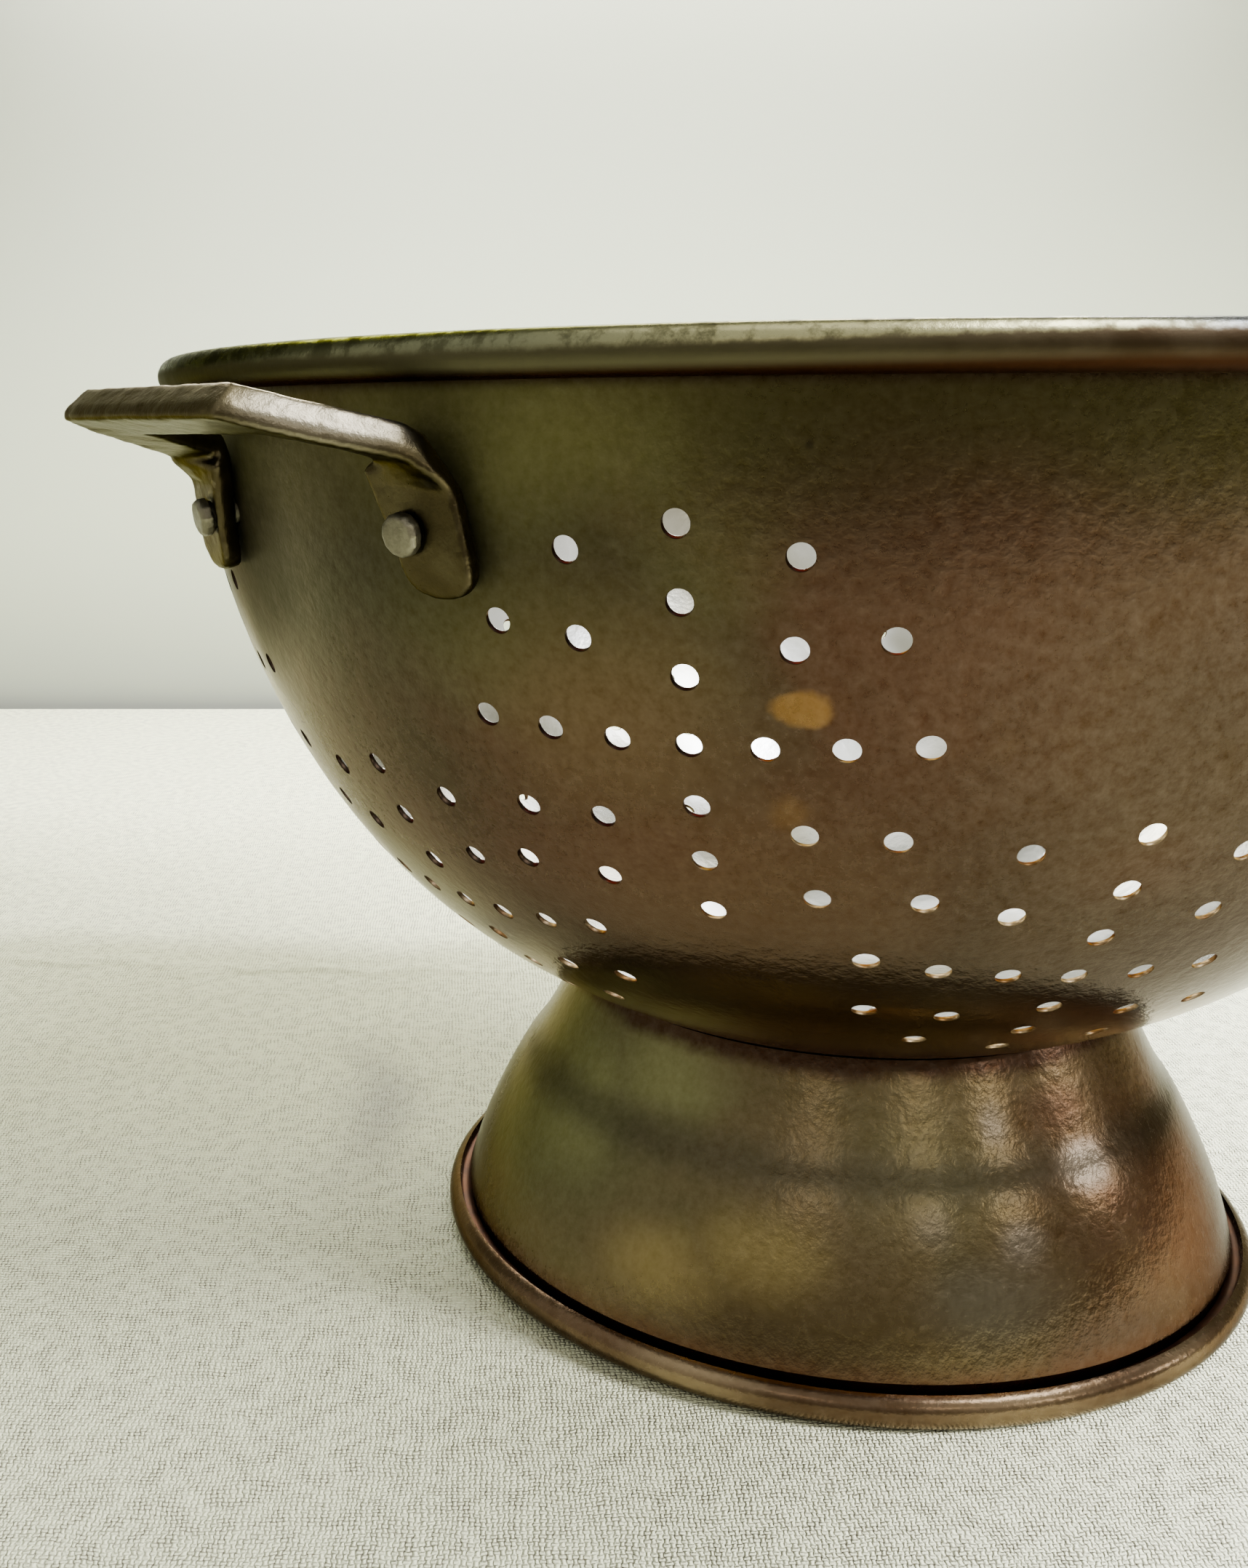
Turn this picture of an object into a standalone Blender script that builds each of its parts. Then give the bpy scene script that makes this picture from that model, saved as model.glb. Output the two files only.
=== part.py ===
"""Footed copper colander with two riveted cast loop handles.

Frame: metres, +Z up. The origin is at the centre of the foot, on the table, and the
handles lie on +X and -X. A spun copper bowl with punched drain rosettes has its rim
rolled over a wire. It stands on a spun skirt whose lower edge is rolled over a second
wire. Each handle is held by two rivets through the bowl wall.
"""

import math

import bmesh
import bpy
from mathutils import Matrix, Vector
from mathutils.geometry import delaunay_2d_cdt

MM = 0.001
GAP = 0.3 * MM                      # clearance between neighbouring pieces
SEGMENTS = 48                       # facets around every turned piece

# Bowl: outer surface of three tangent arcs, angles measured from the vertical
RIM_Z = 161.1 * MM                  # height of the rolled rim's centre line
RIM_CURL_R = 2.9 * MM               # outer radius of the rolled rim
RIM_OD = 254.0 * MM
BOWL_T = 0.8 * MM                   # sheet thickness
SIDE_RADIUS, SIDE_START = 133.5 * MM, 0.03
SHOULDER_RADIUS, SHOULDER_START = 105.4 * MM, 0.60
BOTTOM_START = 1.27                 # the bottom arc closes on the axis by itself
RIM_WIRE_R = 1.7 * MM

# Drain holes: one punch makes 25 holes, in rings of 1, 4, 8 and 12
HOLE_D = 3.5 * MM
HOLE_PITCH = 9.525 * MM             # 3/8 inch between the rings of the punch
PUNCH_RINGS = ((0, 1), (1, 4), (2, 8), (3, 12))
HOLE_SIDES = 6
UPPER_ROW_S = 48.3 * MM             # along the wall, from the rim to a rosette's centre
LOWER_ROW_S = 88.8 * MM
ROSETTES_PER_ROW = 6
UPPER_ROW_TURN = math.radians(28.9)  # from the +X handle to the first upper rosette

# Foot: skirt with its lower edge rolled outwards and up over a wire
FOOT_T = 1.0 * MM
FOOT_NECK_R = 51.1 * MM
FOOT_BELLY_R, FOOT_BELLY_Z = 72.9 * MM, 6.5 * MM
FOOT_SAGITTA = 1.5 * MM             # how far the skirt swells out of a straight cone
SKIRT_STEPS = 5
FOOT_FLANGE = 4.5 * MM              # width of the flange soldered under the bowl
FOOT_CURL_C = 73.9 * MM             # radius of the rolled edge's centre line
FOOT_CURL_R = 3.05 * MM
FOOT_CURL_END = math.radians(72)    # where the rolled edge stops, above its centre
FOOT_WIRE_R = 1.65 * MM
SOLDER_W = 2.4 * MM

# Handles: bevelled casting, a loop that rises outwards and turns down into two lugs
BAR_U, BAR_Z = 140.9 * MM, 152.7 * MM   # underside of the outer bar, middle of its width
BAR_W, BAR_T = 4.8 * MM, 4.9 * MM       # half width and thickness
CORNER_V = 19.3 * MM                # from the handle's middle to the loop's corner
LOOP_TILT = math.radians(13)
LUG_TURN = math.radians(13.2)       # lug's middle, to either side of the handle's middle
LUG_LEAN = math.radians(0.8)        # how much farther out the lug's tip lies
ROOT_Z, LUG_TIP_Z = 150.6 * MM, 132.0 * MM
LUG_W, LUG_T = 5.9 * MM, 3.4 * MM
LUG_SEAT = 0.4 * MM                 # clearance between a lug's back and the bowl
LUG_FLARE = 3.0 * MM                # extra width at the lug's root, on the slot's side
RIVET_Z = 140.4 * MM
RIVET_TURN = math.radians(12.2)     # each rivet, to either side of its handle
HEAD_R, HEAD_T = 2.9 * MM, 2.0 * MM
SHANK_R = 1.9 * MM
SHANK_HOLE_R = 2.2 * MM
INNER_HEAD_R, INNER_HEAD_T = 3.6 * MM, 1.2 * MM


def clear_scene():
    for obj in list(bpy.data.objects):
        bpy.data.objects.remove(obj, do_unlink=True)


def make_material(name, colour, roughness, metallic=1.0):
    mat = bpy.data.materials.new(name)
    mat.use_nodes = True
    shader = mat.node_tree.nodes["Principled BSDF"]
    shader.inputs["Base Color"].default_value = (*colour, 1.0)
    shader.inputs["Roughness"].default_value = roughness
    shader.inputs["Metallic"].default_value = metallic
    mat.diffuse_color = (*colour, 1.0)
    return mat


def add_object(name, bm, mat, smooth_angle=35):
    bmesh.ops.recalc_face_normals(bm, faces=bm.faces)
    mesh = bpy.data.meshes.new(name)
    bm.to_mesh(mesh)
    bm.free()
    mesh.materials.append(mat)
    mesh.shade_smooth()
    mesh.set_sharp_from_angle(angle=math.radians(smooth_angle))
    obj = bpy.data.objects.new(name, mesh)
    bpy.context.scene.collection.objects.link(obj)
    return obj


# ---------------------------------------------------------------- bowl surface

class BowlSurface:
    """Outer surface of the bowl as three tangent arcs, by arc length from the rim."""

    def __init__(self):
        top_r = RIM_OD / 2 - 2 * RIM_CURL_R + BOWL_T
        self.arcs = []              # start s, start angle, centre r, centre z, radius
        s, r, z = 0.0, top_r, RIM_Z
        steps = ((SIDE_START, SHOULDER_START, SIDE_RADIUS),
                 (SHOULDER_START, BOTTOM_START, SHOULDER_RADIUS))
        for a0, a1, rad in steps:
            cr, cz = r - rad * math.cos(a0), z + rad * math.sin(a0)
            self.arcs.append((s, a0, cr, cz, rad))
            s += rad * (a1 - a0)
            r, z = cr + rad * math.cos(a1), cz - rad * math.sin(a1)
        rad = r / math.cos(BOTTOM_START)
        self.arcs.append((s, BOTTOM_START, 0.0, z + rad * math.sin(BOTTOM_START), rad))
        self.length = s + rad * (math.pi / 2 - BOTTOM_START)

    def at(self, s, inward=0.0):
        """Radius, height and slope angle at arc length s, offset into the metal."""
        arc = [a for a in self.arcs if s >= a[0] - 1e-12][-1]
        ang = arc[1] + (s - arc[0]) / arc[4]
        rad = arc[4] - inward
        return arc[2] + rad * math.cos(ang), arc[3] - rad * math.sin(ang), ang

    def find(self, r, z):
        """Arc length and height above the surface of a point in the section plane."""
        for s0, a0, cr, cz, rad in reversed(self.arcs):
            ang = math.atan2(cz - z, r - cr)
            if ang >= a0 or s0 == 0.0:
                return s0 + rad * (ang - a0), math.hypot(r - cr, cz - z) - rad

    def point(self, turn, s, outward=0.0):
        r, z, _ = self.at(s, -outward)
        return Vector((r * math.cos(turn), r * math.sin(turn), z))

    def normal(self, turn, s):
        ang = self.at(s)[2]
        c = math.cos(ang)
        return Vector((c * math.cos(turn), c * math.sin(turn), -math.sin(ang)))

    def s_at_height(self, z):
        lo, hi = 0.0, self.length
        for _ in range(50):
            mid = (lo + hi) / 2
            lo, hi = (mid, hi) if self.at(mid)[1] > z else (lo, mid)
        return lo

    def s_at_radius(self, r):
        lo, hi = 0.0, self.length
        for _ in range(50):
            mid = (lo + hi) / 2
            lo, hi = (mid, hi) if self.at(mid)[0] > r else (lo, mid)
        return lo

    def along(self, start, direction, inward=0.0):
        """Where a line meets the surface set inward: the turn and the arc length."""
        p = start.copy()
        for _ in range(12):
            s, high = self.find(math.hypot(p.x, p.y), p.z)
            turn = math.atan2(p.y, p.x)
            slope = direction.dot(self.normal(turn, s))
            p = p - direction * ((high + inward) / slope)
        s, _ = self.find(math.hypot(p.x, p.y), p.z)
        return p, math.atan2(p.y, p.x), s


def tangent_axes(surface, turn, s):
    n = surface.normal(turn, s)
    east = Vector((-math.sin(turn), math.cos(turn), 0.0))
    return n, east, n.cross(east)


def rosette_centres(surface):
    step = 2 * math.pi / ROSETTES_PER_ROW
    places = [(UPPER_ROW_TURN + k * step, UPPER_ROW_S) for k in range(ROSETTES_PER_ROW)]
    places += [(UPPER_ROW_TURN + (k + 0.5) * step, LOWER_ROW_S)
               for k in range(ROSETTES_PER_ROW)]
    places.append((0.0, surface.length))
    return places


def punched_holes(surface):
    """Centre, direction, east, north and radius of every hole through the bowl."""
    holes = []
    for turn, s in rosette_centres(surface):
        n, east, north = tangent_axes(surface, turn, s)
        centre = surface.point(turn, s)
        for ring, count in PUNCH_RINGS:
            for k in range(count):
                a = 2 * math.pi * k / count
                offset = (east * math.cos(a) + north * math.sin(a)) * ring * HOLE_PITCH
                holes.append((centre + offset, n, east, north, HOLE_D / 2, HOLE_SIDES))
    s = surface.s_at_height(RIVET_Z)
    for base in (0.0, math.pi):
        for side in (-1, 1):
            turn = base + side * RIVET_TURN
            n, east, north = tangent_axes(surface, turn, s)
            holes.append((surface.point(turn, s), n, east, north, SHANK_HOLE_R, 12))
    return holes


def hole_loops(surface, hole):
    """The hole's rim on both skins, and its outline on the flattened bowl."""
    centre, n, east, north, radius, sides = hole
    outer, inner, flat = [], [], []
    for k in range(sides):
        a = 2 * math.pi * (k + 0.5) / sides
        start = centre + (east * math.cos(a) + north * math.sin(a)) * radius
        p, turn, s = surface.along(start, n)
        outer.append(p)
        inner.append(surface.along(p, n, BOWL_T)[0])
        flat.append(flat_point(surface, turn, s))
    return outer, inner, flat


def flat_point(surface, turn, s):
    rho = surface.length - s
    return Vector((rho * math.cos(turn), rho * math.sin(turn)))


def fill_points(surface, flat_holes):
    """Rows of points between the holes, so the skins stay round."""
    centres = [sum(loop, Vector((0, 0))) / len(loop) for loop in flat_holes]
    s, row, points = 9 * MM, 0, []
    while s < surface.length - 8 * MM:
        count = SEGMENTS
        while 2 * math.pi * (surface.length - s) / count < 9 * MM:
            count //= 2
        for k in range(count):
            turn = 2 * math.pi * k / count
            p = flat_point(surface, turn, s)
            if all((p - c).length > 6.5 * MM for c in centres):
                points.append((p, turn, s))
        s += 9 * MM if row < 1 else 12 * MM
        row += 1
    return points


def inside(loop, p):
    n = len(loop)
    return all((loop[(i + 1) % n] - loop[i]).cross(p - loop[i]) > 0 for i in range(n))


def bowl_skins(surface, bm):
    """Both skins of the bowl with its holes; returns the two open top rings."""
    flat, outer, inner, edges, flat_holes, loops = [], [], [], [], [], []
    for k in range(SEGMENTS):
        turn = 2 * math.pi * k / SEGMENTS
        flat.append(flat_point(surface, turn, 0.0))
        outer.append(surface.point(turn, 0.0))
        inner.append(surface.point(turn, 0.0, -BOWL_T))
        edges.append((k, (k + 1) % SEGMENTS))
    for hole in punched_holes(surface):
        o, i, f = hole_loops(surface, hole)
        first = len(flat)
        ids = list(range(first, first + len(o)))
        flat, outer, inner = flat + f, outer + o, inner + i
        edges += [(ids[j], ids[(j + 1) % len(ids)]) for j in range(len(ids))]
        if sum(f[j].cross(f[(j + 1) % len(f)]) for j in range(len(f))) < 0:
            f, ids = f[::-1], ids[::-1]
        flat_holes.append(f)
        loops.append(ids)
    for p, turn, s in fill_points(surface, flat_holes):
        flat.append(p)
        outer.append(surface.point(turn, s))
        inner.append(surface.point(turn, s, -BOWL_T))
    found = delaunay_2d_cdt(flat, edges, [], 0, 1e-7)
    source = [ids[0] for ids in found[3]]
    centres = [sum(f, Vector((0, 0))) / len(f) for f in flat_holes]
    out_verts = [bm.verts.new(p) for p in outer]
    in_verts = [bm.verts.new(p) for p in inner]
    for tri in found[2]:
        ids = [source[v] for v in tri]
        mid = sum((flat[i] for i in ids), Vector((0, 0))) / 3
        near = min(range(len(centres)), key=lambda h: (centres[h] - mid).length_squared)
        if inside(flat_holes[near], mid):
            continue
        bm.faces.new([out_verts[i] for i in ids])
        bm.faces.new([in_verts[i] for i in reversed(ids)])
    for ids in loops:
        for j, a in enumerate(ids):
            b = ids[(j + 1) % len(ids)]
            bm.faces.new((out_verts[a], out_verts[b], in_verts[b], in_verts[a]))
    return out_verts[:SEGMENTS], in_verts[:SEGMENTS]


def ring_of(bm, r, z):
    turns = [2 * math.pi * k / SEGMENTS for k in range(SEGMENTS)]
    return [bm.verts.new((r * math.cos(t), r * math.sin(t), z)) for t in turns]


def bridge(bm, first, second):
    n = len(first)
    for k in range(n):
        j = (k + 1) % n
        bm.faces.new((first[k], first[j], second[j], second[k]))


def arc_points(cr, cz, radius, start, end, steps):
    """Points of an arc in the section plane, both ends included."""
    turns = [start + (end - start) * k / steps for k in range(steps + 1)]
    return [(cr + radius * math.cos(a), cz + radius * math.sin(a)) for a in turns]


def build_bowl(surface, mat):
    bm = bmesh.new()
    outer_top, inner_top = bowl_skins(surface, bm)
    cr = RIM_OD / 2 - RIM_CURL_R
    end = math.radians(-112)
    inside_curl = arc_points(cr, RIM_Z, RIM_CURL_R - BOWL_T, math.pi, end, 6)[1:]
    outside_curl = arc_points(cr, RIM_Z, RIM_CURL_R, end, math.pi, 7)[:-1]
    last = outer_top
    for r, z in inside_curl + outside_curl:
        ring = ring_of(bm, r, z)
        bridge(bm, last, ring)
        last = ring
    bridge(bm, last, inner_top)
    return add_object("bowl", bm, mat)


# ---------------------------------------------------------------- turned pieces

def build_turned(name, section, mat):
    """A closed section in the r-z plane, spun about the axis."""
    bm = bmesh.new()
    rings = [ring_of(bm, r, z) for r, z in section]
    for i, ring in enumerate(rings):
        bridge(bm, ring, rings[(i + 1) % len(rings)])
    return add_object(name, bm, mat)


def build_wire(name, cr, cz, radius, mat, sides=8):
    section = arc_points(cr, cz, radius, 0.0, 2 * math.pi, sides)[:-1]
    return build_turned(name, section, mat)


def skirt_line(surface, inset):
    """Skirt from the neck down to the belly, as an arc swelling out of a cone."""
    neck_z = surface.at(surface.s_at_radius(FOOT_NECK_R))[1] - GAP
    top = Vector((FOOT_NECK_R, neck_z))
    belly = Vector((FOOT_BELLY_R, FOOT_BELLY_Z))
    chord = belly - top
    out = Vector((-chord.y, chord.x)).normalized()
    points = []
    for k in range(SKIRT_STEPS + 1):
        f = k / SKIRT_STEPS
        p = top + chord * f + out * (4 * f * (1 - f) * FOOT_SAGITTA)
        points.append((p.x - inset, p.y))
    return points


def build_foot(surface, mat):
    seat = []
    for k in (2, 1):
        s = surface.s_at_radius(FOOT_NECK_R - FOOT_FLANGE * k / 2)
        r, z, _ = surface.at(s, -GAP)
        seat.append((r, z))
    outer = skirt_line(surface, 0.0)
    curl_in = arc_points(FOOT_CURL_C, FOOT_CURL_R, FOOT_CURL_R - FOOT_T,
                         math.pi, 2 * math.pi + FOOT_CURL_END, 6)
    curl_out = arc_points(FOOT_CURL_C, FOOT_CURL_R, FOOT_CURL_R,
                          2 * math.pi + FOOT_CURL_END, math.pi, 7)
    inner = [p for p in reversed(skirt_line(surface, FOOT_T))][:-1]
    under = [(FOOT_NECK_R - FOOT_T - 0.4 * MM, seat[1][1] - FOOT_T + 0.2 * MM),
             (seat[0][0], seat[0][1] - FOOT_T)]
    section = seat + outer + curl_in + curl_out + inner + under
    return build_turned("foot", section, mat)


def build_solder(surface, mat):
    """Fillet of solder inside the neck, under the bowl and beside the flange."""
    r1 = FOOT_NECK_R - FOOT_FLANGE - GAP
    section = []
    for r in (r1 - SOLDER_W, r1):
        rr, z, _ = surface.at(surface.s_at_radius(r), -GAP)
        section.append((rr, z))
    section.append((r1, section[1][1] - 1.0 * MM))
    section.append((r1 - 0.55 * SOLDER_W, section[1][1] - 0.7 * MM))
    return build_turned("foot_solder", section[::-1], mat)


# ---------------------------------------------------------------- handles

def handle_stations(surface):
    """Half of one handle on +X, from the middle of its bar to the tip of its lug.

    Each station is the middle of a section, the sideways direction away from the
    handle's middle, half the width, the thickness and the bevel of the upper edges.
    The loop's flat underside turns down at the root and becomes the lug's outer face.
    """
    out = Vector((math.cos(LOOP_TILT), 0.0, math.sin(LOOP_TILT)))
    middle = Vector((BAR_U, 0.0, BAR_Z)) + Vector((-out.z, 0.0, out.x)) * (BAR_T / 2)

    def loop_point(u, v):
        return middle + out * (u - BAR_U) + Vector((0.0, v, 0.0))

    root = surface.point(LUG_TURN, surface.s_at_height(ROOT_Z), GAP + LUG_T / 2)
    corner = loop_point(BAR_U, CORNER_V)
    arm = (root - corner).normalized()
    along_bar = Vector((0.0, 1.0, 0.0))
    mitre = (out + along_bar * 0.62).normalized()
    arm_side = Vector((-arm.y, arm.x, 0.0)).normalized() * -1
    lug_side = Vector((-math.sin(LUG_TURN), math.cos(LUG_TURN), 0.0))

    stations = [(loop_point(BAR_U, v * MM), out, BAR_W, BAR_T, 0.45)
                for v in (0.0, 7.0, 13.0)]
    stations.append((corner - along_bar * 2.6 * MM, (out + mitre * 0.6).normalized(),
                     BAR_W * 1.04, BAR_T, 0.45))
    stations.append((corner, mitre, BAR_W * 1.12, BAR_T, 0.45))
    stations.append((corner + arm * 2.6 * MM, (arm_side + mitre * 0.6).normalized(),
                     BAR_W * 1.04, BAR_T, 0.45))
    reach = (root - corner).length
    for f, bevel in ((0.36, 0.44), (0.60, 0.40)):
        stations.append((corner + arm * reach * f, arm_side, BAR_W * (1 + 0.1 * f),
                         BAR_T * (1 - 0.06 * f), bevel))
    start = corner + arm * reach * 0.78
    end = surface.point(LUG_TURN, surface.s_at_height(ROOT_Z - 5.2 * MM), GAP + LUG_T / 2)
    for t, share in ((0.15, 0.1), (0.35, 0.4), (0.52, 0.75), (0.68, 1.0), (0.84, 0.95), (1.0, 0.7)):
        p = start * (1 - t) ** 2 + root * 2 * t * (1 - t) + end * t * t
        side = (arm_side * (1 - t) + lug_side * t).normalized()
        extra = LUG_FLARE * share / 2
        stations.append((p - side * extra, side, LUG_W * (0.90 + 0.08 * t) + extra,
                         BAR_T * (1 - t) + LUG_T * t, 0.40 - 0.28 * t))
    tip_s = surface.s_at_height(LUG_TIP_Z)
    for up, width in ((6.5, 1.0), (3.6, 0.97), (1.9, 0.84), (0.7, 0.60), (0.0, 0.24)):
        s = tip_s - up * MM
        stations.append((surface.point(LUG_TURN + LUG_LEAN * (1 - up / 16), s, GAP + LUG_T / 2),
                         lug_side, LUG_W * width, LUG_T * (0.75 + 0.25 * width), 0.12))
    return stations


def section_outline(w, t, bevel):
    """Flat underside, narrower upper side, corners broken; listed around the bar."""
    h, top = t / 2, w * (1 - bevel)
    return [(-w * 0.93, -h), (w * 0.93, -h), (w, -h * 0.72), (w * (1 - bevel * 0.12), -h * 0.2),
            (w * (1 - bevel * 0.92), h * 0.78), (top * 0.86, h), (-top * 0.86, h),
            (-w * (1 - bevel * 0.92), h * 0.78), (-w * (1 - bevel * 0.12), -h * 0.2),
            (-w, -h * 0.72)]


def seated(surface, points, touching):
    """Moves a section off the bowl's wall; a lug's section also moves up to it."""
    low = min(surface.find(math.hypot(p.x, p.y), p.z)[1] for p in points)
    if low < LUG_SEAT or touching:
        mid = sum(points, Vector()) / len(points)
        n = surface.normal(math.atan2(mid.y, mid.x), surface.s_at_height(mid.z))
        points = [p + n * (LUG_SEAT - low) for p in points]
    return points


def build_handle(name, surface, base_turn, mat):
    half = handle_stations(surface)
    rings = []
    for i, (p, side, w, t, bevel) in enumerate(half):
        before = half[i - 1][0] if i else Vector((p.x, -half[1][0].y, p.z))
        after = half[min(i + 1, len(half) - 1)][0]
        path = (after - before).normalized()
        upper = side.cross(path).normalized()
        ring = [p + side * a + upper * b for a, b in section_outline(w, t, bevel)]
        rings.append(seated(surface, ring, i > len(half) - 6))
    mirrored = [[Vector((p.x, -p.y, p.z)) for p in ring] for ring in reversed(rings[1:])]
    turned = Matrix.Rotation(base_turn, 4, "Z")
    bm = bmesh.new()
    rings = [[bm.verts.new(turned @ p) for p in ring] for ring in mirrored + rings]
    for first, second in zip(rings, rings[1:]):
        bridge(bm, first, second)
    bm.faces.new(rings[0][::-1])
    bm.faces.new(rings[-1])
    obj = add_object(name, bm, mat, 30)
    for side in (-1, 1):
        cutter = rivet_hole_cutter(name, surface, base_turn + side * RIVET_TURN, side)
        cut = obj.modifiers.new("rivet_hole", "BOOLEAN")
        cut.operation, cut.solver, cut.object = "DIFFERENCE", "EXACT", cutter
    return obj


def rivet_frame(surface, turn):
    """Rivet axes: origin on the bowl's outer skin, +Z along the outward normal."""
    s = surface.s_at_height(RIVET_Z)
    n, east, north = tangent_axes(surface, turn, s)
    axes = Matrix((east, north, n)).transposed().to_4x4()
    return Matrix.Translation(surface.point(turn, s)) @ axes


def rivet_hole_cutter(name, surface, turn, side):
    bm = bmesh.new()
    place = rivet_frame(surface, turn) @ Matrix.Translation((0, 0, 3 * MM))
    bmesh.ops.create_cone(bm, cap_ends=True, segments=12, radius1=SHANK_HOLE_R,
                          radius2=SHANK_HOLE_R, depth=14 * MM, matrix=place)
    mesh = bpy.data.meshes.new(f"{name}_cutter")
    bm.to_mesh(mesh)
    bm.free()
    obj = bpy.data.objects.new(f"{name}_cutter_{'a' if side < 0 else 'b'}", mesh)
    bpy.context.scene.collection.objects.link(obj)
    obj.hide_render, obj.display_type = True, "WIRE"
    return obj


def build_rivet(name, surface, turn, mat):
    """Flat-domed outer head, shank through lug and wall, peened inner head."""
    seat = LUG_SEAT + LUG_T + GAP
    inner = -BOWL_T - GAP
    section = [(0.0, inner - INNER_HEAD_T), (INNER_HEAD_R * 0.6, inner - INNER_HEAD_T * 0.9),
               (INNER_HEAD_R, inner - INNER_HEAD_T * 0.35), (INNER_HEAD_R, inner),
               (SHANK_R, inner), (SHANK_R, seat), (HEAD_R, seat),
               (HEAD_R, seat + HEAD_T * 0.62), (HEAD_R * 0.84, seat + HEAD_T * 0.92),
               (0.0, seat + HEAD_T)]
    sides, bm = 12, bmesh.new()
    low, high = bm.verts.new((0, 0, section[0][1])), bm.verts.new((0, 0, section[-1][1]))
    rings = []
    for r, z in section[1:-1]:
        turns = [2 * math.pi * k / sides for k in range(sides)]
        rings.append([bm.verts.new((r * math.cos(a), r * math.sin(a), z)) for a in turns])
    for first, second in zip(rings, rings[1:]):
        bridge(bm, first, second)
    for k in range(sides):
        j = (k + 1) % sides
        bm.faces.new((low, rings[0][j], rings[0][k]))
        bm.faces.new((high, rings[-1][k], rings[-1][j]))
    obj = add_object(name, bm, mat)
    obj.matrix_world = rivet_frame(surface, turn)
    return obj


def main():
    clear_scene()
    copper = make_material("tarnished_copper", (0.12, 0.075, 0.042), 0.38)
    foot_copper = make_material("foot_copper", (0.15, 0.095, 0.055), 0.42)
    tin = make_material("tinned_wire", (0.33, 0.30, 0.24), 0.45)
    iron = make_material("foot_wire_copper", (0.20, 0.09, 0.05), 0.5)
    solder = make_material("solder", (0.35, 0.34, 0.32), 0.5)
    brass = make_material("cast_brass", (0.22, 0.18, 0.10), 0.42)
    rivet = make_material("rivet_metal", (0.27, 0.25, 0.18), 0.45)

    surface = BowlSurface()
    build_bowl(surface, copper)
    build_wire("rim_wire", RIM_OD / 2 - RIM_CURL_R, RIM_Z, RIM_WIRE_R, tin)
    build_foot(surface, foot_copper)
    build_wire("foot_wire", FOOT_CURL_C, FOOT_CURL_R, FOOT_WIRE_R, iron)
    build_solder(surface, solder)
    for label, base in (("left", math.pi), ("right", 0.0)):
        build_handle(f"handle_{label}", surface, base, brass)
        for tag, side in (("a", -1), ("b", 1)):
            build_rivet(f"rivet_{label}_{tag}", surface, base + side * RIVET_TURN, rivet)


main()
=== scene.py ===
"""Looks of the footed copper colander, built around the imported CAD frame."""

import math

import bmesh
import bpy
import numpy as np
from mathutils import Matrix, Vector, noise
from mathutils.geometry import delaunay_2d_cdt


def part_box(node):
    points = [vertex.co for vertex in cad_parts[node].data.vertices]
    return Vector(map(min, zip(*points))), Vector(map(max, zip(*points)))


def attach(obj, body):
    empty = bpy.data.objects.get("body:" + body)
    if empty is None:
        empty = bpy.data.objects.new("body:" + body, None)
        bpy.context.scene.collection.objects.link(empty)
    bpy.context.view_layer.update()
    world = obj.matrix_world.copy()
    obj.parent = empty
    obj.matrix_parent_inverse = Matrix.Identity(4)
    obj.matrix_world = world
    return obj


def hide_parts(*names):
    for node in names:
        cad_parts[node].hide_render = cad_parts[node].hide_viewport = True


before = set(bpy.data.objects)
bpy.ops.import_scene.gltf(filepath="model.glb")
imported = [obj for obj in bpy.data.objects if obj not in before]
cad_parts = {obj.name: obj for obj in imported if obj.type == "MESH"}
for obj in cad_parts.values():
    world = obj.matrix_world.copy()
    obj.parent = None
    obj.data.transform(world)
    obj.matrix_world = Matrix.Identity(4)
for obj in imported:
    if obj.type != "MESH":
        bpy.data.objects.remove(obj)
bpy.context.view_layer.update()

MM = 0.001
TAU = 2 * math.pi

# Sizes shared with the CAD; places come from its boxes
RIM_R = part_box("bowl")[1].x
RIM_CURL_R = 2.9 * MM
BOWL_T = 0.8 * MM
CURL_C = RIM_R - RIM_CURL_R
RIM_Z = sum(corner.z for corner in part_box("rim_wire")) / 2
RIM_CURL_END = math.radians(-112)       # where the rolled sheet ends, under the wire
SIDE_ARC = (133.5 * MM, 0.03)           # radius, angle from the vertical where it starts
SHOULDER_ARC = (105.4 * MM, 0.60)
BOTTOM_START = 1.27
HOLE_R = 1.75 * MM
HOLE_PITCH = 9.525 * MM
PUNCH_RINGS = ((0, 1), (1, 4), (2, 8), (3, 12))
UPPER_S, LOWER_S = 48.3 * MM, 88.8 * MM
UPPER_TURN = math.radians(28.9)
RIVET_Z, RIVET_TURN, RIVET_HOLE_R = 140.4 * MM, math.radians(12.2), 2.2 * MM
NECK_R = 51.1 * MM
BELLY_R, BELLY_Z = 72.9 * MM, 6.5 * MM
FOOT_T, FOOT_FLANGE = 1.0 * MM, 4.5 * MM
# Height and angle from the vertical of the foot's skirt, from belly to neck
SKIRT_SLOPES = ((6.5 * MM, 15.5), (12 * MM, 19.0), (17 * MM, 23.5), (22 * MM, 26.5),
                (28 * MM, 29.0), (32 * MM, 33.0), (34.2 * MM, 41.0), (36.5 * MM, 32.0),
                (40 * MM, 28.5), (52 * MM, 27.0))
FOOT_CURL_C, FOOT_CURL_R = 73.9 * MM, 3.05 * MM
FOOT_CURL_END = math.radians(72)
DENT_R, DENT_DEPTH = 4.2 * MM, 0.28 * MM
FOOT_WIRE_R, RIM_WIRE_R = 1.65 * MM, 1.7 * MM
AROUND = 240                            # facets around the turned pieces
HOLE_SIDES = 24
ROW_GAP = 5 * MM                        # widest spacing of the sheet's points
HOLE_CLEAR = 3.3 * MM                   # no such point this near a hole's centre
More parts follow.
